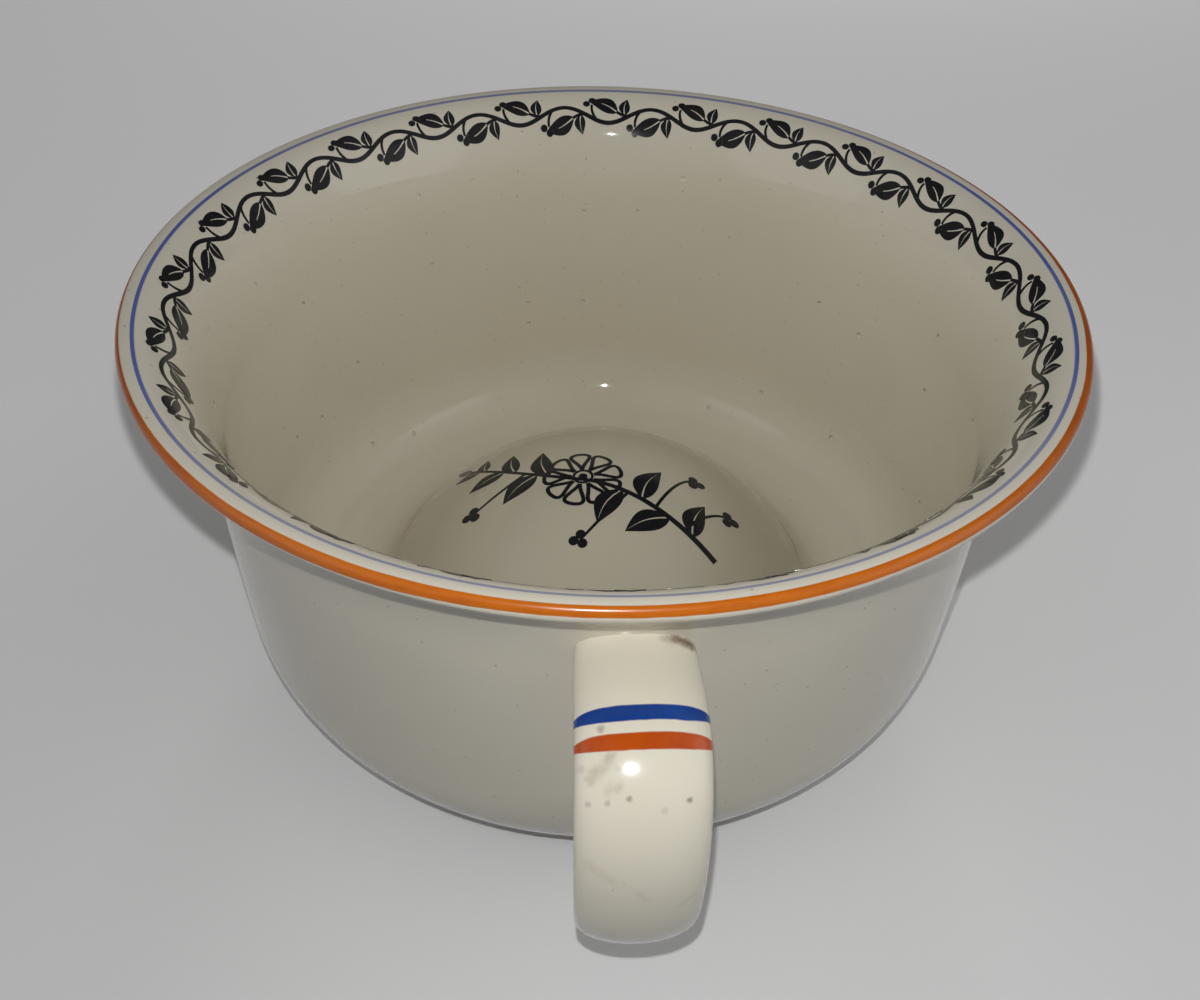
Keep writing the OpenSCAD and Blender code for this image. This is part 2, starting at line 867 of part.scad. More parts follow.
pot_body();
handle();
screw_plugs();
base_cover();
cover_screws();
bedplate();
pillars();
bedplate_screws();
spring_barrel();
barrel_lid();
mainspring();
winding_arbor();
ratchet_wheel();
winding_key();
click();
click_stud();
click_spring();
music_cylinder();
cylinder_arbor();
cylinder_pinion();
cylinder_wheel();
inner_bearing();
outer_bearing();
comb();
comb_block();
comb_screws();
governor_cock();
governor_arbor();
governor_wheel();
fly_arbor();
fly_fan();
brake_drum();
stop_pin();
stop_pad();
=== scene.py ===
import math
import bmesh
import bpy
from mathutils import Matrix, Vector


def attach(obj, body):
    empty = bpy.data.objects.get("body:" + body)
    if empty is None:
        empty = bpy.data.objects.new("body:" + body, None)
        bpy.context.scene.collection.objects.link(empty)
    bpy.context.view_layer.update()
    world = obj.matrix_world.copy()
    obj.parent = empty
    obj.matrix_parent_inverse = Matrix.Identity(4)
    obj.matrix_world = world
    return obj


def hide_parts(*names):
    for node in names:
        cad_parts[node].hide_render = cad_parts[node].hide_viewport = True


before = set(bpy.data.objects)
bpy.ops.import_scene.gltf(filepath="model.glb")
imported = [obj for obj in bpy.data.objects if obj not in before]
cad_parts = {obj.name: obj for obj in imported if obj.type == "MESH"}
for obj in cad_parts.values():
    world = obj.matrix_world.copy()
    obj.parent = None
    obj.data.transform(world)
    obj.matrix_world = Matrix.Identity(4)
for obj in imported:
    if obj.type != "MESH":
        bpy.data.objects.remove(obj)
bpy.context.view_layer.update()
MM = 0.001

# Sizes of the pot in millimetres, as in the part's source
RIM_R, POT_H = 117.45, 118.0
NECK_R, BELLY_R, BELLY_Z, WALL = 103.25, 101.25, 33.5, 4.5
FOOT_R, FOOT_W, FOOT_H, FOOT_STEP, FLOOR_Z = 72.0, 7.0, 4.0, 2.8, 9.5
FLARE_H, FLARE_UNDER, LIP_T, LIP_W = 36.5, 34.0, 4.2, 1.6
DOME_EDGE, DOME_H, DOME_T, DOME_FILLET = 65.0, 41.0, 6.0, 8.0
MOUTH_R, COVER_TOP, LUG_R, LUG_AT, PLUG_R = 57.0, 12.2, 6.5, 48.0, 3.1
STRAP_T, STRAP_TOP, STRAP_OUT, STRAP_MID, STRAP_LOW = 10.0, 98.0, 145.2, 62.0, 32.6
ROOT_W, LOW_W, BULGE_W = 23.4, 22.0, 2.9
# Reach and power of the strap's two bends, each a quarter of a superellipse
UPPER, LOWER = (30.2, 2.39), (29.2, 2.0)
LOOP_OUT = STRAP_OUT - UPPER[0]
NECK_Z, UNDER_Z = POT_H - FLARE_H, POT_H - FLARE_UNDER
CROWN_R = RIM_R - LIP_W
THROAT_R = NECK_R - WALL
DOME_S = (DOME_EDGE ** 2 + DOME_H ** 2) / (2 * DOME_H)
DOME_C = FLOOR_Z + DOME_H - DOME_S
# Run of the outline from the dome's crown to the rim's, in metres
WAY_RUN = 0.216
# Lugs under the dome: height of their tops, depth of the plug's hole, turn of the first
LUG_TOP, PLUG_DEEP, LUG_TURN = 34.0, 9.1, 60.0
# Share of the way that stands for the outside, where the glaze is thin
OUTSIDE = 2.0
# The strap at the wall: reach and swell of the clay there; then where it is widest and how far it drifts
ROOT_REACH, ROOT_SWELL, BULGE_AT, SWAY = 6.0, 0.14, 0.58, 0.8
# Distances out of the strap's stations on its two level runs, closest at the wall
UPPER_RUN = (101.6, 102.0, 102.6, 103.3, 104.1, 105.0, 106.0, 107.5, 109.0, 111.0, 113.0)
LOWER_RUN = (114.0, 112.0, 110.0, 108.0, 106.5, 105.0, 104.0, 103.0, 102.0, 101.0, 100.0, 99.0, 98.6)
# The flare's printed band: its edges as angles on the flare's ellipse, its width and its middle radius
FLARE_LOW, FLARE_HIGH, FLARE_BAND, FLARE_MID = 137.2, 106.7, 13.4, 107.0
# Ink: how far it stands off the glaze and how thick it is
INK_LIFT, INK_T = 0.045, 0.08

# Camera: degrees left of the handle's plane, down and rolled; metres from the axis and above the rim; lens
VIEW_SIDE, VIEW_DOWN, VIEW_ROLL = 4.27, 40.99, 1.65
VIEW_BACK, VIEW_UP, VIEW_LENS = 0.2650, 0.1544, 36.18
# A small lamp stands just over the lens: metres to its left and above it
KEY_LEFT, KEY_UP = 0.0026, 0.0166
side, pitch = math.radians(VIEW_SIDE), math.radians(VIEW_DOWN)
stand = Vector((-math.sin(side), -math.cos(side), 0)) * VIEW_BACK + Vector((0, 0, VIEW_UP + POT_H * MM))
ahead = Vector((math.sin(side) * math.cos(pitch), math.cos(side) * math.cos(pitch), -math.sin(pitch)))
level = ahead.cross(Vector((0, 0, 1))).normalized()
key_place = stand - level * KEY_LEFT + level.cross(ahead) * KEY_UP
# The rim's shadow on the floor: middle and radius
reach = key_place.z / (key_place.z - (POT_H - LIP_T / 2) * MM)
SHADE = (key_place.x * (1 - reach), key_place.y * (1 - reach), RIM_R * MM * reach)


# Node trees written as Python expressions
class Wire:
    """An output socket; arithmetic on it adds Math nodes to its tree."""

    def __init__(self, bench, socket):
        self.bench, self.socket = bench, socket

    def math(self, operation, *values):
        return self.bench.add("ShaderNodeMath", {"operation": operation}, dict(enumerate(values)))

    def __add__(self, other):
        return self.math("ADD", self, other)

    def __radd__(self, other):
        return self.math("ADD", other, self)

    def __sub__(self, other):
        return self.math("SUBTRACT", self, other)

    def __rsub__(self, other):
        return self.math("SUBTRACT", other, self)

    def __mul__(self, other):
        return self.math("MULTIPLY", self, other)

    def __truediv__(self, other):
        return self.math("DIVIDE", self, other)

    def __pow__(self, other):
        return self.math("POWER", self, other)

    def __abs__(self):
        return self.math("ABSOLUTE", self)

    def __gt__(self, other):
        return self.math("GREATER_THAN", self, other)

    def sin(self):
        return self.math("SINE", self)

    def cos(self):
        return self.math("COSINE", self)

    def turn(self, other):
        """Angle of a point that lies self up and other along."""
        return self.math("ARCTAN2", self, other)

    def sign(self):
        return self.math("SIGN", self)

    def root(self):
        return self.math("SQRT", self)

    def least(self, other):
        return self.math("MINIMUM", self, other)

    def most(self, other):
        return self.math("MAXIMUM", self, other)

    def ease(self, low, high):
        """0 at low, 1 at high, with a soft start and end; low may be the larger."""
        return self.bench.add("ShaderNodeMapRange", {"interpolation_type": "SMOOTHSTEP"},
                              {"Value": self, "From Min": low, "From Max": high})


class Bench:
    """Adds nodes to one tree: a type, its settings, then its inputs by name or number."""

    def __init__(self, tree):
        self.tree = tree

    def add(self, kind, settings=None, inputs=None, out=0):
        node = self.tree.nodes.new(kind)
        for name, value in (settings or {}).items():
            setattr(node, name, value)
        for key, value in (inputs or {}).items():
            self.put(node.inputs[key], value)
        self.last = node
        return Wire(self, node.outputs[out])

    def put(self, socket, value):
        if isinstance(value, Wire):
            self.tree.links.new(value.socket, socket)
        else:
            socket.default_value = value

    def of_last(self, out):
        return Wire(self, self.last.outputs[out])

    def mix(self, share, first, second):
        """Colour between two colours."""
        def colour(c):
            return c if isinstance(c, Wire) else (*c, 1.0)
        return self.add("ShaderNodeMix", {"data_type": "RGBA"},
                        {0: share, 6: colour(first), 7: colour(second)}, 2)

    def split(self, vector):
        self.add("ShaderNodeSeparateXYZ", None, {0: vector})
        return self.of_last(0), self.of_last(1), self.of_last(2)

    def join(self, x, y, z):
        return self.add("ShaderNodeCombineXYZ", None, {0: x, 1: y, 2: z})

    def place(self):
        return self.add("ShaderNodeTexCoord", None, None, "Object")

    def noise(self, where, scale, detail=2.0, rough=0.5):
        return self.add("ShaderNodeTexNoise", None,
                        {"Vector": where, "Scale": scale, "Detail": detail, "Roughness": rough})

    def stretched(self, where, x, y, z):
        return self.add("ShaderNodeVectorMath", {"operation": "MULTIPLY"}, {0: where, 1: (x, y, z)})

    def bump(self, height, depth, strength=1.0):
        return self.add("ShaderNodeBump", None, {"Strength": strength, "Distance": depth, "Height": height})


def material(name, write, **constants):
    """A Principled material; write(bench) returns what varies, by socket name."""
    made = bpy.data.materials.new(name)
    made.use_nodes = True
    tree = made.node_tree
    tree.nodes.clear()
    shader = tree.nodes.new("ShaderNodeBsdfPrincipled")
    end = tree.nodes.new("ShaderNodeOutputMaterial")
    tree.links.new(shader.outputs[0], end.inputs["Surface"])
    for key, value in constants.items():
        shader.inputs[key.replace("_", " ")].default_value = value
    bench = Bench(tree)
    for key, value in write(bench).items():
        bench.put(shader.inputs[key], value)
    return made


# Finishes
CREAM, WARM, IRON = (0.765, 0.722, 0.600), (0.690, 0.625, 0.480), (0.095, 0.060, 0.035)
DEEP_GLAZE_AND_SHADE, WALL_SHADE, CLAY = (0.640, 0.570, 0.405), (0.430, 0.405, 0.350), (0.52, 0.44, 0.33)
DOME, DOME_FOOT_SHADE = (0.530, 0.468, 0.335), (0.100, 0.088, 0.062)
RIM_ORANGE, RIM_DEEP = (0.575, 0.140, 0.002), (0.395, 0.066, 0.002)
BAND_ORANGE, BAND_DEEP = (0.500, 0.074, 0.001), (0.400, 0.048, 0.001)
BAND_BLUE, BAND_WORN = (0.005, 0.042, 0.240), (0.008, 0.058, 0.300)
LINE_BLUE, LINE_PALE = (0.060, 0.100, 0.400), (0.420, 0.425, 0.500)
RUST, RUST_ROOT, STAIN = (0.330, 0.205, 0.105), (0.150, 0.088, 0.045), (0.130, 0.098, 0.064)
INK, INK_WORN = (0.010, 0.010, 0.012), (0.030, 0.028, 0.030)
WOOD_DARK, WOOD_PALE = (0.36, 0.22, 0.11), (0.52, 0.36, 0.20)
LEATHER_DARK, LEATHER_PALE = (0.10, 0.05, 0.025), (0.20, 0.11, 0.055)
PAPER_PALE, PAPER_GREY, PAPER_DIM = (0.86, 0.86, 0.865), (0.80, 0.80, 0.805), (0.05, 0.05, 0.05)
# Depth of the glaze's bumps in metres
BUMP = 0.000077


def spots(b, where, scale, size, keep, space="3D"):
    """Round spots of one size, in the share of Voronoi cells above keep."""
    near = b.add("ShaderNodeTexVoronoi", {"voronoi_dimensions": space},
                 {"Vector": where, "Scale": scale, "Randomness": 1.0}, "Distance")
    chosen = b.split(b.of_last("Color"))[0]
    return (chosen > keep) * near.ease(size, size * 0.35)


def glaze_ground(b, where):
    """Cream glaze with faint clouds, iron specks and pimples; gives colour, speck mask and height."""
    cloud = b.noise(where, 14.0, 3.0, 0.55)
    fine = b.noise(where, 95.0, 4.0, 0.6)
    colour = b.mix(cloud.ease(0.35, 0.75) * 0.24, CREAM, WARM)
    colour = b.mix(fine.ease(0.45, 0.8) * 0.10, colour, WARM)
    specks = spots(b, where, 150.0, 0.050, 0.82) + spots(b, where, 85.0, 0.045, 0.88)
    specks = (specks + spots(b, where, 320.0, 0.070, 0.90)).least(1.0)
    colour = b.mix(specks * 0.62, colour, IRON)
    pimples = spots(b, where, 62.0, 0.030, 0.10) + spots(b, where, 110.0, 0.035, 0.55)
    height = b.noise(where, 48.0) * 0.6 + b.noise(where, 420.0) * 0.09
    return colour, specks, height - specks * 0.4 + pimples * 1.3


def write_pot_glaze(b):
    where = b.place()
    colour, specks, height = glaze_ground(b, where)
    x, y, z = b.split(where)
    r = (x * x + y * y).root() / MM
    z = z / MM
    wave = b.noise(where, 60.0, 3.0, 0.6) - 0.5
    patch = b.noise(b.stretched(where, 1.0, 1.0, 3.0), 45.0, 4.0, 0.65)
    back, right = y / MM / r, x / MM / r
    # The glaze lies thicker and warmer inside; its darker colour there is partly painted shade in the hollow
    way = b.add("ShaderNodeAttribute", {"attribute_name": "way"}, None, "Fac")
    inside = way.ease(0.99, 0.78)
    dome = way.ease(0.42, 0.34)
    # Specks and blisters on the wall, laid out flat: metres round it and up it
    sheet = b.join(x.turn(y) * (THROAT_R * MM), way * WAY_RUN, 0.0)
    wall = way.ease(0.44, 0.50)
    flecks = (spots(b, sheet, 150.0, 0.050, 0.80, "2D") + spots(b, sheet, 92.0, 0.040, 0.86, "2D")) * wall
    colour = b.mix(flecks.least(1.0) * 0.42, colour, IRON)
    blister = spots(b, sheet, 58.0, 0.055, 0.78, "2D") * wall * inside
    # Inside darker and warmer: partly the glaze's own tone, partly painted shade
    colour = b.mix(inside * 0.20, colour, b.mix(specks, DEEP_GLAZE_AND_SHADE, IRON))
    # The outside is greyer with painted shade, most at the left; the dome is darker, with painted shade on
    # its foot
    outer = way.ease(1.02, 1.10) * (right * -0.12 + 0.18)
    # Painted shade on the outside wall, strongest on the left
    colour = b.mix(outer, colour, b.mix(specks, WALL_SHADE, IRON))
    colour = b.mix(dome * 0.36, colour, b.mix(specks, DOME, IRON))
    # Painted shade on the dome's flanks, growing towards its foot and strongest on the right
    colour = b.mix(dome * way.ease(0.08, 0.22) * (right * 0.08 + 0.13), colour, DOME_FOOT_SHADE)
    # Orange edge over the lip, banded by hand and widest at the handle, and a blue line inside it
    edge = (r - back.most(0.0) * 0.45 + right * 0.45 + wave * 0.35).ease(115.70, 115.95)
    edge = edge * (z + right.ease(-0.1, -0.65) * 0.9 + wave * 0.5).ease(116.20, 116.50)
    streak = b.noise(b.stretched(where, 1.0, 1.0, 9.0), 130.0, 3.0, 0.6)
    orange = b.mix(streak.ease(0.40, 0.75) * 0.4 + back.ease(-0.9, -0.3) * 0.6, RIM_ORANGE, RIM_DEEP)
    colour = b.mix(edge * (1.0 - patch.ease(0.72, 0.80) * 0.25), colour, orange)
    front = back.ease(-0.30, -0.85)
    inner = r + front * 0.45 + wave * 0.12
    line = inner.ease(112.75, 113.12) * inner.ease(113.95, 113.75) * z.ease(115.0, 116.0)
    worn = (front * 0.75 + back.ease(0.30, 0.85) * 0.42 + patch.ease(0.50, 0.75) * 0.2).least(0.85)
    colour = b.mix(line * (0.90 + patch * 0.1), colour, b.mix(worn, LINE_BLUE, LINE_PALE))
    # Bare clay under the foot
    bare = z.ease(1.2, 0.5) * r.ease(63.0, 64.5)
    colour = b.mix(bare, colour, CLAY)
    rings = (z * 2.2 + b.noise(where, 22.0) * 3.0).sin() * 0.02
    rough = 0.028 + bare * 0.6 + specks * 0.25 + patch * 0.01 + edge * 0.22
    return {"Base Color": colour, "Roughness": rough, "Coat Weight": 0.35 - edge * 0.35 - bare * 0.35,
            "Normal": b.bump(height + rings + edge * 0.15 + line * 0.08 + blister * 5.0, BUMP)}


# Pinholes on the strap: place across in millimetres, angle round the loop in degrees, size, strength
PINHOLES = ((-3.4, 52.1, 0.62, 0.55), (7.6, 51.1, 0.64, 0.80), (-10.8, 50.6, 0.56, 0.30),
            (-7.4, 51.0, 0.54, 0.32), (3.0, 48.3, 0.70, 0.16), (-5.2, 55.3, 0.90, 0.16),
            (-11.8, 61.2, 0.80, 0.20), (-5.4, 60.6, 0.60, 0.16), (-8.0, 73.0, 0.75, 0.45),
            (-9.4, 68.6, 0.80, 0.40))
# Brown smears: ends across and in degrees, width, strength
SMEARS = ((-6.6, 64.4, -10.2, 58.0, 1.5, 0.32), (-5.0, 56.6, -7.2, 54.6, 1.2, 0.18),
          (-11.0, 29.5, -5.6, 22.0, 1.5, 0.14), (-4.6, 21.0, 0.4, 14.0, 1.1, 0.11),
          (6.8, 8.0, 9.0, 12.0, 0.8, 0.11))
# Millimetres along the strap in one degree; place across and out of the smudge at its root
DEGREE, SMUDGE_X, SMUDGE_OUT = 0.62, 8.6, 105.2


def write_handle_glaze(b):
    where = b.place()
    colour, specks, height = glaze_ground(b, where)
    x, y, z = b.split(where)
    x, out, z = x / MM, y / -MM, z / MM
    # Angle about the middle of the loop: 90 degrees where the strap leaves its level run
    east, north = out - LOOP_OUT, z - STRAP_MID
    turn = north.turn(east) * (180.0 / math.pi)
    deep = (east * east / UPPER[0] ** 2 + north * north / (STRAP_TOP - STRAP_MID) ** 2).root()
    outer = deep.ease(0.77, 0.80)
    patch = b.noise(where, 70.0, 4.0, 0.65)
    ragged = b.noise(where, 420.0, 3.0, 0.65) - 0.5
    # Painted shade: the strap darkens towards its bottom
    colour = b.mix(z.ease(82.0, 40.0) * 0.50, colour, WALL_SHADE)
    blotch = b.noise(where, 260.0, 3.0, 0.7)
    stain, rust = 0.0, 0.0
    for across, angle, size, strength in PINHOLES:
        gap = ((x - across) * (x - across) + (turn - angle) * (turn - angle) * 0.39).root() + ragged * 1.6
        stain = gap.ease(size * 1.5, size * 0.15) * strength + stain
    for x0, turn0, x1, turn1, size, strength in SMEARS:
        # Distance from the line between the smear's two ends
        run, rise = x1 - x0, (turn1 - turn0) * DEGREE
        share = ((x - x0) * run + (turn - turn0) * (DEGREE * rise)) / (run * run + rise * rise)
        along = share.least(1.0).most(0.0)
        aside, over = x - along * run - x0, (turn - turn0) * DEGREE - along * rise
        gap = (aside * aside + over * over).root() + ragged * 2.4
        rust = gap.ease(size * 1.3, 0.0) * blotch.ease(0.30, 0.56) * strength + rust
    aside, over = x - SMUDGE_X, out - SMUDGE_OUT
    root = (aside * aside * 0.055 + over * over * 0.30).root() + ragged * 1.4
    rust = rust * outer + root.ease(1.25, 0.15) * z.ease(91.0, 94.0) * (0.45 + x.ease(4.0, 10.0) * 0.50)
    colour = b.mix(rust.least(1.0), colour, b.mix(z.ease(90.0, 94.0), RUST, RUST_ROOT))
    stain = (stain * outer).least(1.0)
    colour = b.mix(stain, colour, STAIN)
    # Two bands, brushed across
    wave = (b.noise(b.stretched(where, 1.0, 0.6, 0.6), 95.0, 3.0, 0.55) - 0.5) * 2.0
    slack = (abs(x) / 13.0) ** 6.0
    upper, lower = turn + wave * 0.6 + slack * 1.6, turn + wave - slack * 0.9
    blue = upper.ease(80.0, 79.5) * lower.ease(74.3, 74.9) * outer
    orange = upper.ease(71.2, 70.6) * lower.ease(65.3, 65.9) * outer
    colour = b.mix(blue, colour, b.mix(patch.ease(0.40, 0.75), BAND_BLUE, BAND_WORN))
    colour = b.mix(orange, colour, b.mix(patch.ease(0.40, 0.72), BAND_ORANGE, BAND_DEEP))
    return {"Base Color": colour, "Roughness": 0.14 + specks * 0.2 + stain * 0.2 + patch * 0.03,
            "Normal": b.bump(height + (blue + orange) * 0.12 - stain * 0.4, BUMP)}


def write_ink(b):
    where = b.place()
    patch = b.noise(where, 240.0, 3.0, 0.6)
    return {"Base Color": b.mix(patch.ease(0.4, 0.8) * 0.35, INK, INK_WORN), "Roughness": 0.10 + patch * 0.08}


def metal(name, light, dark, rough, grain):
    def write(b):
        where = b.place()
        brushed = b.noise(b.stretched(where, 1.0, 1.0, 14.0), grain, 3.0, 0.6)
        tarnish = b.noise(where, 60.0, 4.0, 0.6)
        colour = b.mix(tarnish.ease(0.40, 0.78) * 0.7 + brushed * 0.15, light, dark)
        return {"Base Color": colour, "Roughness": rough + tarnish * 0.18 + brushed * 0.08,
                "Normal": b.bump(brushed, 0.00003, 0.3)}
    return material(name, write, Metallic=1.0)


def write_wood(b):
    where = b.place()
    grain = b.noise(b.stretched(where, 6.0, 6.0, 0.5), 160.0, 4.0, 0.6)
    return {"Base Color": b.mix(grain.ease(0.3, 0.7), WOOD_DARK, WOOD_PALE),
            "Roughness": 0.55 + grain * 0.2, "Normal": b.bump(grain, 0.0001, 0.3)}


def write_leather(b):
    where = b.place()
    grain = b.noise(where, 1500.0, 3.0, 0.6)
    return {"Base Color": b.mix(grain, LEATHER_DARK, LEATHER_PALE),
            "Roughness": 0.6 + grain * 0.2, "Normal": b.bump(grain, 0.0002, 0.5)}


def write_paper(b):
    """Pale paper that throws little light back on the pot and stays pale into the distance."""
    where = b.place()
    x, y, _ = b.split(where)
    fibre = b.noise(where, 700.0, 3.0, 0.6)
    broad = b.noise(where, 3.0, 2.0, 0.5)
    b.add("ShaderNodeLightPath")
    kinds = ("Camera", "Glossy", "Transmission")
    direct, mirrored, through = (b.of_last("Is %s Ray" % kind) for kind in kinds)
    seen = (direct + mirrored + through).least(1.0)
    pale = b.mix(fibre * 0.25 + broad * 0.2, PAPER_PALE, PAPER_GREY)
    rim_x, rim_y = x - SHADE[0], y - SHADE[1]
    # The glow of the distance stays out of the rim's shadow and from under the pot
    lit = (rim_x * rim_x + rim_y * rim_y).root().ease(SHADE[2], SHADE[2] + 0.003)
    lit = lit * (x * x + y * y).root().ease(0.0865, 0.0895)
    lamp_x, lamp_y = x - key_place.x, y - key_place.y
    glow = seen * lit * ((lamp_x * lamp_x + lamp_y * lamp_y).root().ease(0.10, 0.42) * 0.13 + 0.02)
    return {"Base Color": b.mix(seen, PAPER_DIM, pale), "Roughness": 0.6 + fibre * 0.1,
            "Normal": b.bump(fibre, 0.0001, 0.2), "Emission Color": b.join(glow, glow, glow)}


pot_glaze = material("pot_glaze", write_pot_glaze, Coat_Roughness=0.02)
handle_glaze = material("handle_glaze", write_handle_glaze, Coat_Weight=0.30, Coat_Roughness=0.06)
ink = material("printed_ink", write_ink, Specular_IOR_Level=0.3)
brass = metal("brass", (0.70, 0.50, 0.20), (0.36, 0.24, 0.09), 0.28, 500.0)
steel = metal("steel", (0.56, 0.56, 0.57), (0.33, 0.32, 0.32), 0.26, 600.0)
blued = metal("blued_steel", (0.10, 0.13, 0.24), (0.05, 0.06, 0.10), 0.25, 500.0)
tin = metal("tinplate", (0.60, 0.60, 0.58), (0.40, 0.38, 0.34), 0.34, 260.0)
wood = material("plug_wood", write_wood)
leather = material("leather", write_leather)
paper = material("paper_floor", write_paper, Emission_Strength=1.0)


# Outlines
def arc(c, a, b, t0, t1, n):
    steps = (math.radians(t0 + (t1 - t0) * i / n) for i in range(n + 1))
    return [(c[0] + a * math.cos(t), c[1] + b * math.sin(t)) for t in steps]


def wall_line(a, b, n):
    return [(a[0] + (b[0] - a[0]) * i / n, a[1] + (b[1] - a[1]) * i / n) for i in range(1, n)]


def pot_outline():
    """From the crown of the dome out over the rim, down the outside and under, to the hollow's crown."""
    low, mid = RIM_R - LIP_T / 2, POT_H - LIP_T / 2
    belly_in, edge = BELLY_R - WALL, DOME_EDGE + DOME_FILLET + 4
    fz = FLOOR_Z + DOME_FILLET
    fr = math.sqrt((DOME_S + DOME_FILLET) ** 2 - (fz - DOME_C) ** 2)
    fa = math.degrees(math.atan2(fz - DOME_C, fr))
    mouth = math.degrees(math.acos(MOUTH_R / (DOME_S - DOME_T)))
    line = arc((0, DOME_C), DOME_S, DOME_S, 90, fa, 30)
    line += arc((fr, fz), DOME_FILLET, DOME_FILLET, 180 + fa, 270, 10)[1:]
    line += arc((edge, BELLY_Z), belly_in - edge, BELLY_Z - FLOOR_Z, -90, 0, 18)
    line += wall_line((belly_in, BELLY_Z), (THROAT_R, NECK_Z), 16)
    line += arc((CROWN_R, NECK_Z), CROWN_R - THROAT_R, FLARE_H, 180, 90, 34)
    line += arc((CROWN_R, mid), LIP_W, LIP_T / 2, 90, 0, 14)[1:]
    line += arc((low, mid), RIM_R - low, LIP_T / 2, 0, -90, 10)[1:]
    line += arc((low, UNDER_Z), low - NECK_R, POT_H - LIP_T - UNDER_Z, 90, 180, 24)[1:]
    line += wall_line((NECK_R, UNDER_Z), (BELLY_R, BELLY_Z), 16)
    line += arc((FOOT_R, BELLY_Z), BELLY_R - FOOT_R, BELLY_Z - FOOT_STEP, 0, -90, 22)
    line += [(FOOT_R, 0.8), (FOOT_R - 0.25, 0.25), (FOOT_R - 0.8, 0), (FOOT_R - 3, 0)]
    foot_in = FOOT_R - FOOT_W
    line += [(foot_in + 0.6, 0), (foot_in + 0.2, 0.2), (foot_in, 0.6)]
    line += [(foot_in, FOOT_H - 0.8), (foot_in - 0.3, FOOT_H - 0.2), (foot_in - 1, FOOT_H)]
    line += [(MOUTH_R + 0.8, FOOT_H), (MOUTH_R + 0.2, FOOT_H + 0.2), (MOUTH_R, FOOT_H + 0.8)]
    line += arc((0, DOME_C), DOME_S - DOME_T, DOME_S - DOME_T, mouth, 90, 18)
    return line


def way_along(line):
    """Share of the way from the dome's crown to the rim's crown at each point; over 1 outside."""
    runs = [0.0]
    for (r0, z0), (r1, z1) in zip(line, line[1:]):
        runs.append(runs[-1] + math.hypot(r1 - r0, z1 - z0))
    rim = runs[max(range(len(line)), key=lambda i: line[i][1])]
    return [run / rim for run in runs]


def bend(reach, power, height, start, end, n):
    """Middle line of one bend of the strap, with the lean of its outer face."""
    line, k = [], 2 / power
    for i in range(n + 1):
        t = math.radians(start + (end - start) * i / n)
        c, s = abs(math.cos(t)), abs(math.sin(t))
        hand = math.copysign(1, math.sin(t))
        lean = math.atan2(hand * s ** (2 - k) / height, c ** (2 - k) / reach)
        line.append((STRAP_OUT - reach + reach * c ** k - STRAP_T / 2 * math.cos(lean),
                     STRAP_MID + hand * height * s ** k - STRAP_T / 2 * math.sin(lean), lean))
    return line


def handle_path():
    """Stations of the strap's middle line: distance out, height, lean, width, thickness, drift."""
    level = math.pi / 2
    path = [(x, STRAP_TOP - STRAP_T / 2, level) for x in UPPER_RUN]
    path += bend(*UPPER, STRAP_TOP - STRAP_MID, 90, 0, 46)
    path += bend(*LOWER, STRAP_MID - STRAP_LOW, 0, -90, 34)[1:]
    path += [(x, STRAP_LOW + STRAP_T / 2, -level) for x in LOWER_RUN]
    runs = [0.0]
    for (x0, z0, _), (x1, z1, _) in zip(path, path[1:]):
        runs.append(runs[-1] + math.hypot(x1 - x0, z1 - z0))
    stations = []
    for i, (x, z, lean) in enumerate(path):
        u = runs[i] / runs[-1]
        # The clay thickens a little where it is luted to the wall
        high = z > STRAP_MID
        root = max(0.0, min(1.0, 1 - (x - (NECK_R + 1 if high else BELLY_R)) / ROOT_REACH)) ** 2
        width = ROOT_W + (LOW_W - ROOT_W) * u + BULGE_W * math.sin(math.pi * u ** BULGE_AT)
        width += 0.0 if high else root
        drift = -SWAY * math.sin(math.pi * max(0.0, min(1.0, (u - 0.2) / 0.7)))
        end = 0.0 if i in (0, len(path) - 1) else 1.0
        stations.append((x, z, lean, end * width, end * STRAP_T * (1.0 + ROOT_SWELL * root), drift))
    return stations


# Geometry Nodes
def tree_with(name, sockets):
    tree = bpy.data.node_groups.new(name, "GeometryNodeTree")
    tree.interface.new_socket("Geometry", in_out="INPUT", socket_type="NodeSocketGeometry")
    for label, kind in sockets:
        tree.interface.new_socket(label, in_out="INPUT", socket_type=kind)
    tree.interface.new_socket("Geometry", in_out="OUTPUT", socket_type="NodeSocketGeometry")
    bench = Bench(tree)
    start = tree.nodes.new("NodeGroupInput")
    return bench, {s.name: Wire(bench, s) for s in start.outputs if s.name}


def close_tree(bench, geometry, finish):
    solid = bench.add("GeometryNodeRealizeInstances", None, {0: geometry})
    solid = bench.add("GeometryNodeSetMaterial", None, {"Geometry": solid, "Material": finish})
    end = bench.tree.nodes.new("NodeGroupOutput")
    bench.put(end.inputs[0], solid)


def run_tree(name, start_mesh, tree, values):
    """Runs a tree on a mesh and keeps the plain mesh that it gives."""
    source = bpy.data.objects.new(name + "_start", start_mesh)
    bpy.context.scene.collection.objects.link(source)
    modifier = source.modifiers.new("make", "NODES")
    modifier.node_group = tree
    for item in tree.interface.items_tree:
        if item.item_type == "SOCKET" and item.in_out == "INPUT" and item.name in values:
            modifier[item.identifier] = values[item.name]
    graph = bpy.context.evaluated_depsgraph_get()
    mesh = bpy.data.meshes.new_from_object(source.evaluated_get(graph))
    source.modifiers.remove(modifier)
    bpy.data.objects.remove(source)
    mesh.name = name
    piece = bpy.data.objects.new(name, mesh)
    bpy.context.scene.collection.objects.link(piece)
    return piece


def line_mesh(name, points, **numbers):
    mesh = bpy.data.meshes.new(name)
    mesh.from_pydata(points, [(i, i + 1) for i in range(len(points) - 1)], [])
    for key, values in numbers.items():
        mesh.attributes.new(key, "FLOAT", "POINT").data.foreach_set("value", values)
    return mesh


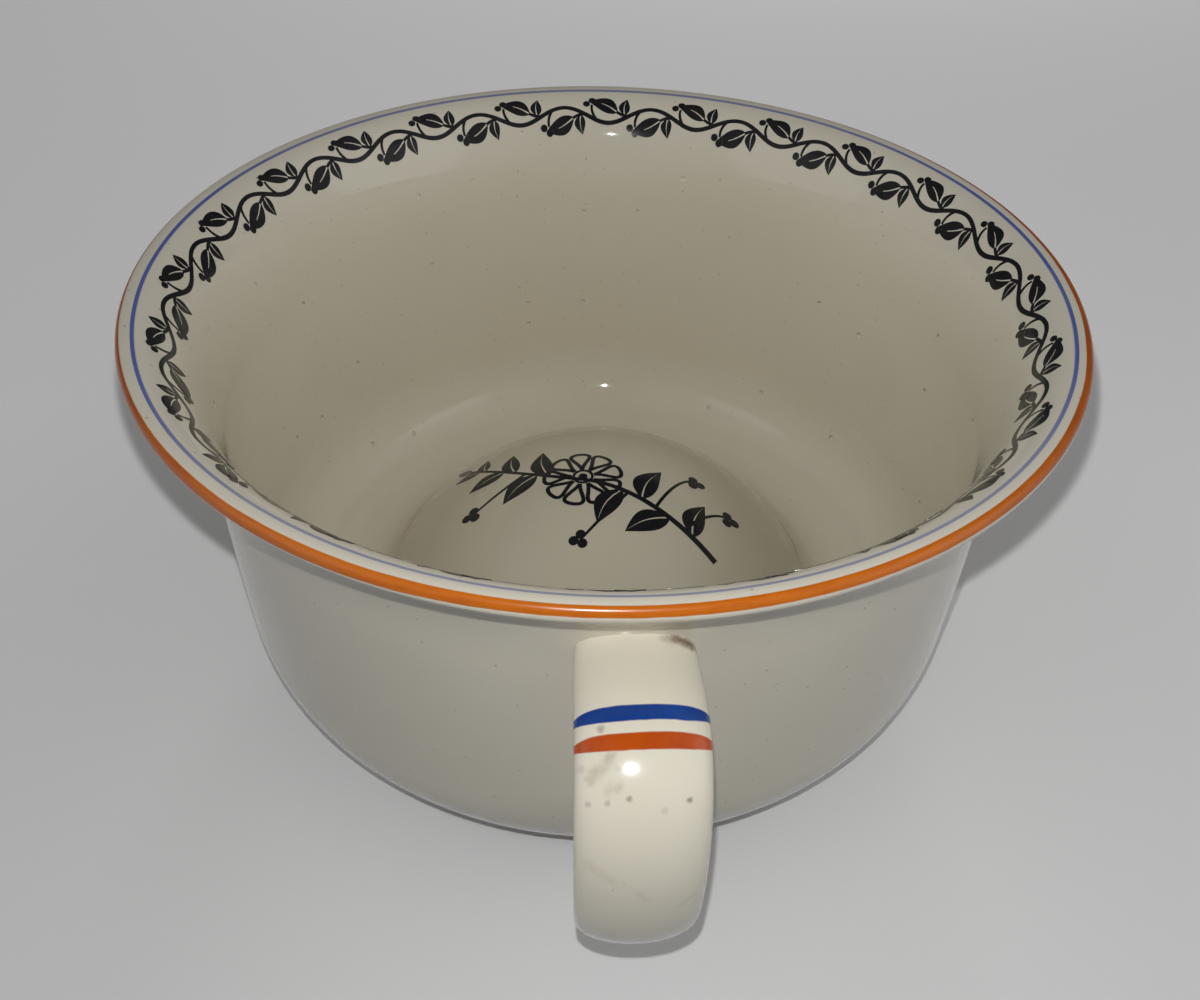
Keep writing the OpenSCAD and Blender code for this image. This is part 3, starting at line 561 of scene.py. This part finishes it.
def sheet_of_rows(b, geometry, steps):
    """A grid with a row for each point of the outline; gives it, the share of the way round and the row."""
    b.add("GeometryNodeAttributeDomainSize", {"component": "MESH"}, {"Geometry": geometry})
    rows = b.of_last("Point Count")
    grid = b.add("GeometryNodeMeshGrid", None,
                 {"Size X": 1.0, "Size Y": 1.0, "Vertices X": steps + 1, "Vertices Y": rows})
    x, y, _ = b.split(b.add("GeometryNodeInputPosition"))
    row = b.add("ShaderNodeMath", {"operation": "ROUND"}, {0: (y + 0.5) * (rows - 1)})
    return grid, x + 0.5, row


def sample(b, geometry, value, row, kind):
    return b.add("GeometryNodeSampleIndex", {"data_type": kind, "domain": "POINT"},
                 {"Geometry": geometry, "Value": value, "Index": row})


def sample_place(b, geometry, row):
    return b.split(sample(b, geometry, b.add("GeometryNodeInputPosition"), row, "FLOAT_VECTOR"))


def sample_named(b, geometry, name, row):
    field = b.add("GeometryNodeInputNamedAttribute", {"data_type": "FLOAT"}, {"Name": name})
    return sample(b, geometry, field, row, "FLOAT")


def closed_smooth(b, grid, position):
    shaped = b.add("GeometryNodeSetPosition", None, {"Geometry": grid, "Position": position})
    shaped = b.add("GeometryNodeMergeByDistance", None, {"Geometry": shaped, "Distance": 0.00001})
    return b.add("GeometryNodeSetShadeSmooth", None, {"Geometry": shaped})


def turned_tree():
    """Turns an outline of distance and height about the upright axis, as on a wheel."""
    b, given = tree_with("turned_clay", [("Steps round", "NodeSocketInt"), ("Finish", "NodeSocketMaterial")])
    grid, share, row = sheet_of_rows(b, given["Geometry"], given["Steps round"])
    r, _, z = sample_place(b, given["Geometry"], row)
    way = sample_named(b, given["Geometry"], "way", row)
    grid = b.add("GeometryNodeStoreNamedAttribute", {"data_type": "FLOAT", "domain": "POINT"},
                 {"Geometry": grid, "Name": "way", "Value": way})
    angle = share * (2 * math.pi)
    close_tree(b, closed_smooth(b, grid, b.join(r * angle.cos(), r * angle.sin(), z)), given["Finish"])
    return b.tree


def strap_tree():
    """Draws an oval strap along a path in the YZ plane; its lean and sizes come from the path's points."""
    b, given = tree_with("pulled_strap", [("Steps round", "NodeSocketInt"), ("Finish", "NodeSocketMaterial")])
    path = given["Geometry"]
    grid, share, row = sheet_of_rows(b, path, given["Steps round"])
    _, y, z = sample_place(b, path, row)
    names = ("lean", "wide", "thick", "drift")
    lean, wide, thick, drift = (sample_named(b, path, name, row) for name in names)
    angle = share * (2 * math.pi)
    c, s = angle.cos(), angle.sin()
    depth = c.sign() * (abs(c) ** (0.85 + c.sign() * 0.15)) * thick * 0.5
    side = s.sign() * (abs(s) ** 0.97) * wide * 0.5 + drift
    place = b.join(side, y - depth * lean.cos(), z + depth * lean.sin())
    close_tree(b, closed_smooth(b, grid, place), given["Finish"])
    return b.tree


def ring_tree():
    """Repeats a motif round the upright axis."""
    b, given = tree_with("motif_ring", [("Count", "NodeSocketInt"), ("Finish", "NodeSocketMaterial")])
    points = b.add("GeometryNodePoints", None, {"Count": given["Count"]})
    turn = b.add("GeometryNodeInputIndex") * (2 * math.pi) / given["Count"]
    spin = b.add("FunctionNodeEulerToRotation", None, {0: b.join(0.0, 0.0, turn)})
    ring = b.add("GeometryNodeInstanceOnPoints", None,
                 {"Points": points, "Instance": given["Geometry"], "Rotation": spin})
    close_tree(b, ring, given["Finish"])
    return b.tree


# Pot and handle
wheel, ring = turned_tree(), ring_tree()
outline = pot_outline()
pot_line = line_mesh("pot_line", [(r * MM, 0, z * MM) for r, z in outline], way=way_along(outline))
pot = run_tree("pot_form", pot_line, wheel, {"Steps round": 192, "Finish": pot_glaze})
stations = handle_path()
strap_line = line_mesh("strap_line", [(0, -s[0] * MM, s[1] * MM) for s in stations],
                       lean=[s[2] for s in stations], wide=[s[3] * MM for s in stations],
                       thick=[s[4] * MM for s in stations], drift=[s[5] * MM for s in stations])
strap = run_tree("strap_handle", strap_line, strap_tree(), {"Steps round": 64, "Finish": handle_glaze})
for piece, node in ((pot, "pot_body"), (strap, "handle")):
    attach(piece, "pot")
    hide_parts(node)

# Three lugs under the dome, with holes for the wooden plugs of the cover's screws
lug_line = [(0, LUG_TOP), (LUG_R, LUG_TOP), (LUG_R, COVER_TOP), (PLUG_R, COVER_TOP)]
lug_line += [(PLUG_R, COVER_TOP + PLUG_DEEP), (0, COVER_TOP + PLUG_DEEP)]
lug_points = [(q * MM, 0, z * MM) for q, z in lug_line]
lug = run_tree("lug", line_mesh("lug_line", lug_points, way=[OUTSIDE] * len(lug_line)), wheel,
               {"Steps round": 48, "Finish": pot_glaze})
lug_turn, clay_r = math.radians(LUG_TURN), (DOME_S - DOME_T / 2) * MM
for vertex in lug.data.vertices:
    vertex.co += Vector((LUG_AT * math.cos(lug_turn), LUG_AT * math.sin(lug_turn), 0)) * MM
    if vertex.co.z > (LUG_TOP - 1) * MM:
        # The top lies in the clay of the dome
        vertex.co.z = DOME_C * MM + math.sqrt(clay_r ** 2 - vertex.co.x ** 2 - vertex.co.y ** 2)
lugs = run_tree("cover_lugs", lug.data, ring, {"Count": 3, "Finish": pot_glaze})
bpy.data.objects.remove(lug)
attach(lugs, "pot")


# Printed decoration
class Drawing:
    """Flat shapes in millimetres, as strips of quads, to be bent onto the glaze."""

    def __init__(self):
        self.points, self.faces = [], []

    def strip(self, rows):
        start, wide = len(self.points), len(rows[0])
        for row in rows:
            self.points.extend(row)
        for i in range(len(rows) - 1):
            for j in range(wide - 1):
                k = start + i * wide + j
                self.faces.append((k, k + 1, k + wide + 1, k + wide))

    def stroke(self, line, first, last):
        """A line of the pen, its width going from first to last."""
        rows, n = [], len(line)
        for i, (x, y) in enumerate(line):
            (x0, y0), (x1, y1) = line[max(i - 1, 0)], line[min(i + 1, n - 1)]
            run = math.hypot(x1 - x0, y1 - y0)
            h = (first + (last - first) * i / (n - 1)) / 2
            nx, ny = -(y1 - y0) / run * h, (x1 - x0) / run * h
            rows.append([(x + nx, y + ny), (x, y), (x - nx, y - ny)])
        self.strip(rows)

    def leaf(self, x, y, angle, length, width, bend=0.0, vein=0.45):
        """A leaf in two halves, with the vein left open between them."""
        c, s = math.cos(math.radians(angle)), math.sin(math.radians(angle))
        for hand in (1, -1):
            rows = []
            for i in range(15):
                t = i / 14
                along, mid = length * t, bend * math.sin(math.pi * t)
                full = width / 2 * math.sin(math.pi * t ** 0.8) * (1.0 if hand > 0 else 0.9)
                open_vein = min(vein * (1 - t), full) / 2
                widths = (full, (full * 2 + open_vein) / 3, (full + open_vein * 2) / 3, open_vein)
                rows.append([(x + c * along - s * (mid + hand * w), y + s * along + c * (mid + hand * w))
                             for w in widths][::hand])
            self.strip(rows)

    def disc(self, x, y, r, hole=0.0):
        turns = [math.radians(a) for a in range(0, 361, 15)]
        rings = (r, (r + hole) / 2, hole)
        self.strip([[(x + q * math.cos(a), y + q * math.sin(a)) for q in rings] for a in turns])

    def petal(self, x, y, angle, near, far, width):
        """A petal drawn in outline."""
        c, s = math.cos(math.radians(angle)), math.sin(math.radians(angle))
        line = []
        for i in range(29):
            t = i / 28
            along = near + (far - near) * math.sin(math.pi * t) ** 0.8
            off = width / 2 * math.sin(2 * math.pi * t) * (0.55 + 0.45 * math.sin(math.pi * t))
            line.append((x + c * along - s * off, y + s * along + c * off))
        self.stroke(line, 1.2, 1.2)


def bow(start, middle, end, n=18):
    """Points on a curve that leaves start towards middle and comes from there to end."""
    return [tuple((1 - t) ** 2 * a + 2 * t * (1 - t) * b + t * t * c for a, b, c in zip(start, middle, end))
            for t in (i / n for i in range(n + 1))]


def on_dome(x, y, lift):
    place = Vector((x, y, math.sqrt(DOME_S ** 2 - x * x - y * y)))
    return (place * (1 + lift / DOME_S) + Vector((0, 0, DOME_C))) * MM


def on_flare(along, up, lift):
    """Place on the flare from millimetres round it, at the band's middle, and up from its lower edge."""
    t = math.radians(FLARE_LOW + (FLARE_HIGH - FLARE_LOW) * up / FLARE_BAND)
    a, b = CROWN_R - THROAT_R, FLARE_H
    off = Vector((math.cos(t) / a, math.sin(t) / b)).normalized() * lift
    r, z = CROWN_R + a * math.cos(t) + off.x, NECK_Z + b * math.sin(t) + off.y
    turn = along / FLARE_MID
    return Vector((r * math.cos(turn), r * math.sin(turn), z)) * MM


def printed(name, drawing, surface, flip):
    """A thin closed shell of ink on a surface."""
    mesh = bpy.data.meshes.new(name)
    mesh.from_pydata([surface(x, y, INK_LIFT) for x, y in drawing.points], [],
                     [f[::-1] if flip else f for f in drawing.faces])
    shape = bmesh.new()
    shape.from_mesh(mesh)
    bmesh.ops.remove_doubles(shape, verts=shape.verts, dist=0.000004)
    bmesh.ops.dissolve_degenerate(shape, edges=shape.edges, dist=0.000002)
    shape.to_mesh(mesh)
    shape.free()
    mesh.materials.append(ink)
    thing = bpy.data.objects.new(name, mesh)
    bpy.context.scene.collection.objects.link(thing)
    wall = thing.modifiers.new("ink", "SOLIDIFY")
    wall.thickness, wall.offset = INK_T * MM, -1.0
    shell = bpy.data.meshes.new_from_object(thing.evaluated_get(bpy.context.evaluated_depsgraph_get()))
    thing.modifiers.remove(wall)
    thing.data = shell
    return thing


# Running vine on the flare: one wave of it, repeated round the rim
WAVES = 24
wave_l = 2 * math.pi * FLARE_MID / WAVES


def stem_at(a):
    return 6.7 + 2.5 * math.sin(2 * math.pi * a / wave_l)


vine = Drawing()
vine.stroke([(wave_l * i / 28, stem_at(wave_l * i / 28)) for i in range(29)], 1.35, 1.35)
for start, up in ((0.02, -1), (0.52, 1)):
    a = start * wave_l
    y = stem_at(a)
    vine.stroke(bow((a, y), (a + 2.2, y + up * 0.3), (a + 3.8, y + up * 1.4)), 1.1, 0.9)
    vine.leaf(a + 3.4, y + up * 1.1, up * 24, 10.2, 5.6, up * 0.9, 0.5)
    vine.leaf(a + 1.2, y + up * 0.3, up * 96, 6.0, 3.7, up * -0.5)
    a = (start + 0.36) * wave_l
    y = stem_at(a)
    vine.stroke(bow((a, y), (a + 2.0, y + up * 2.5), (a + 1.5, y + up * 5.2)), 0.95, 0.75)
    for dx, dy in ((1.4, 6.9), (-0.5, 5.6), (3.2, 5.5)):
        vine.disc(a + dx, y + up * dy, 1.1)
sprig = printed("vine_wave", vine, on_flare, True)
border = run_tree("rim_vine", sprig.data, ring, {"Count": WAVES, "Finish": ink})
bpy.data.objects.remove(sprig)

# Spray on the dome: leaves by point of the stem, angle, length, width and bend, then three-berried twigs
SPRAY_LEAVES = ((3, 68, 12, 5.6, 1.2), (6, 205, 13, 6.0, -1.2), (10, 62, 13, 6.2, 1.4),
                (13, 238, 13, 6.0, -1.4), (25, 96, 12, 5.4, 1.3), (27, 222, 12, 5.6, -1.2),
                (31, 92, 10, 4.6, 1.0), (33, 200, 10, 4.6, -1.0), (37, 84, 7, 3.4, 0.6),
                (38, 178, 7, 3.4, -0.6))
TWIGS = ((8, (22, 2), (27, 4)), (4, (30, -8), (36, -7)),
         (29, (-31, 0), (-36, -3)), (12, (-1, -16), (-6, -21)))
spray = Drawing()
main = bow((31, -24), (10, -4), (-6, 0), 20) + bow((-6, 0), (-24, 5), (-38, 21), 20)[1:]
spray.stroke(main, 1.9, 0.9)
for k, angle, length, width, curl in SPRAY_LEAVES:
    spray.leaf(*main[k], angle, length * 1.12, width * 1.25, curl, 0.6)
spray.leaf(*main[-1], 125, 7.5, 3.4, 0.3, 0.4)
for i in range(9):
    spray.petal(-5, 1, i * 40 + 12, 3.3, 11.2, 6.2)
spray.disc(-5, 1, 3.1, 2.3)
spray.disc(-5, 1, 1.3)
for k, mid, end in TWIGS:
    spray.stroke(bow(main[k], mid, end), 1.0, 0.8)
    for dx, dy in ((0.6, 0.8), (2.6, -0.9), (0.2, -1.9)):
        spray.disc(end[0] + math.copysign(dx, end[0]), end[1] + dy, 1.4)
dome_spray = printed("dome_spray", spray, on_dome, False)
for piece in (border, dome_spray):
    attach(piece, "pot")

# Movement and base, in their own metals
FINISHES = {
    brass: ["cover_screws", "bedplate", "spring_barrel", "barrel_lid", "music_cylinder", "cylinder_wheel",
            "governor_wheel", "inner_bearing", "outer_bearing", "governor_cock", "comb_block", "pillars",
            "winding_key", "brake_drum"],
    steel: ["bedplate_screws", "winding_arbor", "ratchet_wheel", "click", "click_stud", "cylinder_arbor",
            "cylinder_pinion", "comb", "comb_screws", "governor_arbor", "fly_arbor", "fly_fan", "stop_pin"],
    blued: ["mainspring", "click_spring"], tin: ["base_cover"], wood: ["screw_plugs"], leather: ["stop_pad"],
}
for finish, names in FINISHES.items():
    for name in names:
        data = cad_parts[name].data
        data.materials.clear()
        data.materials.append(finish)

# Floor, lamps and camera
FLOOR = 12
floor_mesh = bpy.data.meshes.new("floor")
corners = [(-FLOOR, -FLOOR, 0), (FLOOR, -FLOOR, 0), (FLOOR, FLOOR, 0), (-FLOOR, FLOOR, 0)]
floor_mesh.from_pydata(corners, [], [(0, 1, 2, 3)])
floor_mesh.materials.append(paper)
floor = bpy.data.objects.new("floor", floor_mesh)
bpy.context.scene.collection.objects.link(floor)


def aim(thing, place, target, roll=0.0):
    thing.location = place
    turn = (Vector(target) - Vector(place)).to_track_quat("-Z", "Y").to_euler()
    turn.rotate_axis("Z", roll)
    thing.rotation_euler = turn


def lamp(name, place, target, size, watts):
    light = bpy.data.lights.new(name, "AREA")
    light.shape, light.size, light.energy = "DISK", size, watts
    thing = bpy.data.objects.new(name, light)
    bpy.context.scene.collection.objects.link(thing)
    aim(thing, place, target)
    return thing


view = bpy.data.cameras.new("camera")
view.lens, view.sensor_width, view.clip_start = VIEW_LENS, 36.0, 0.01
camera = bpy.data.objects.new("camera", view)
bpy.context.scene.collection.objects.link(camera)
aim(camera, stand, stand + ahead, math.radians(VIEW_ROLL))
bpy.context.scene.camera = camera

# Lamps: place and target in metres, size, watts; the last only lifts the back and isn't mirrored
lamp("key", key_place, (0.09, -0.05, 0.06), 0.004, 0.378)
lamp("right", (0.55, -0.25, 0.30), (0, 0, 0.06), 0.5, 0.26)
lamp("left", (-0.55, -0.25, 0.30), (0, 0, 0.06), 0.5, 0.20)
lamp("back", (0.25, 1.3, 0.15), (0, 0, 0.07), 0.3, 5.0).visible_glossy = False
# The room is pale all round and brighter at the right and left
ROOM, ROOM_RIGHT, ROOM_LEFT = 0.085, 0.355, 0.27
world = bpy.data.worlds.new("room")
bpy.context.scene.world = world
world.use_nodes = True
room = Bench(world.node_tree)
sky = world.node_tree.nodes["Background"]
sky.inputs[0].default_value = (1, 1, 1, 1)
across, along, up = room.split(room.add("ShaderNodeTexCoord", None, None, "Generated"))
right = across * 0.84 - along * 0.38 + up * 0.38
left = across * -0.84 - along * 0.38 + up * 0.38
room.put(sky.inputs[1], right.ease(0.45, 1.0) * ROOM_RIGHT + left.ease(0.45, 1.0) * ROOM_LEFT + ROOM)
bpy.context.scene.view_settings.view_transform = "Standard"
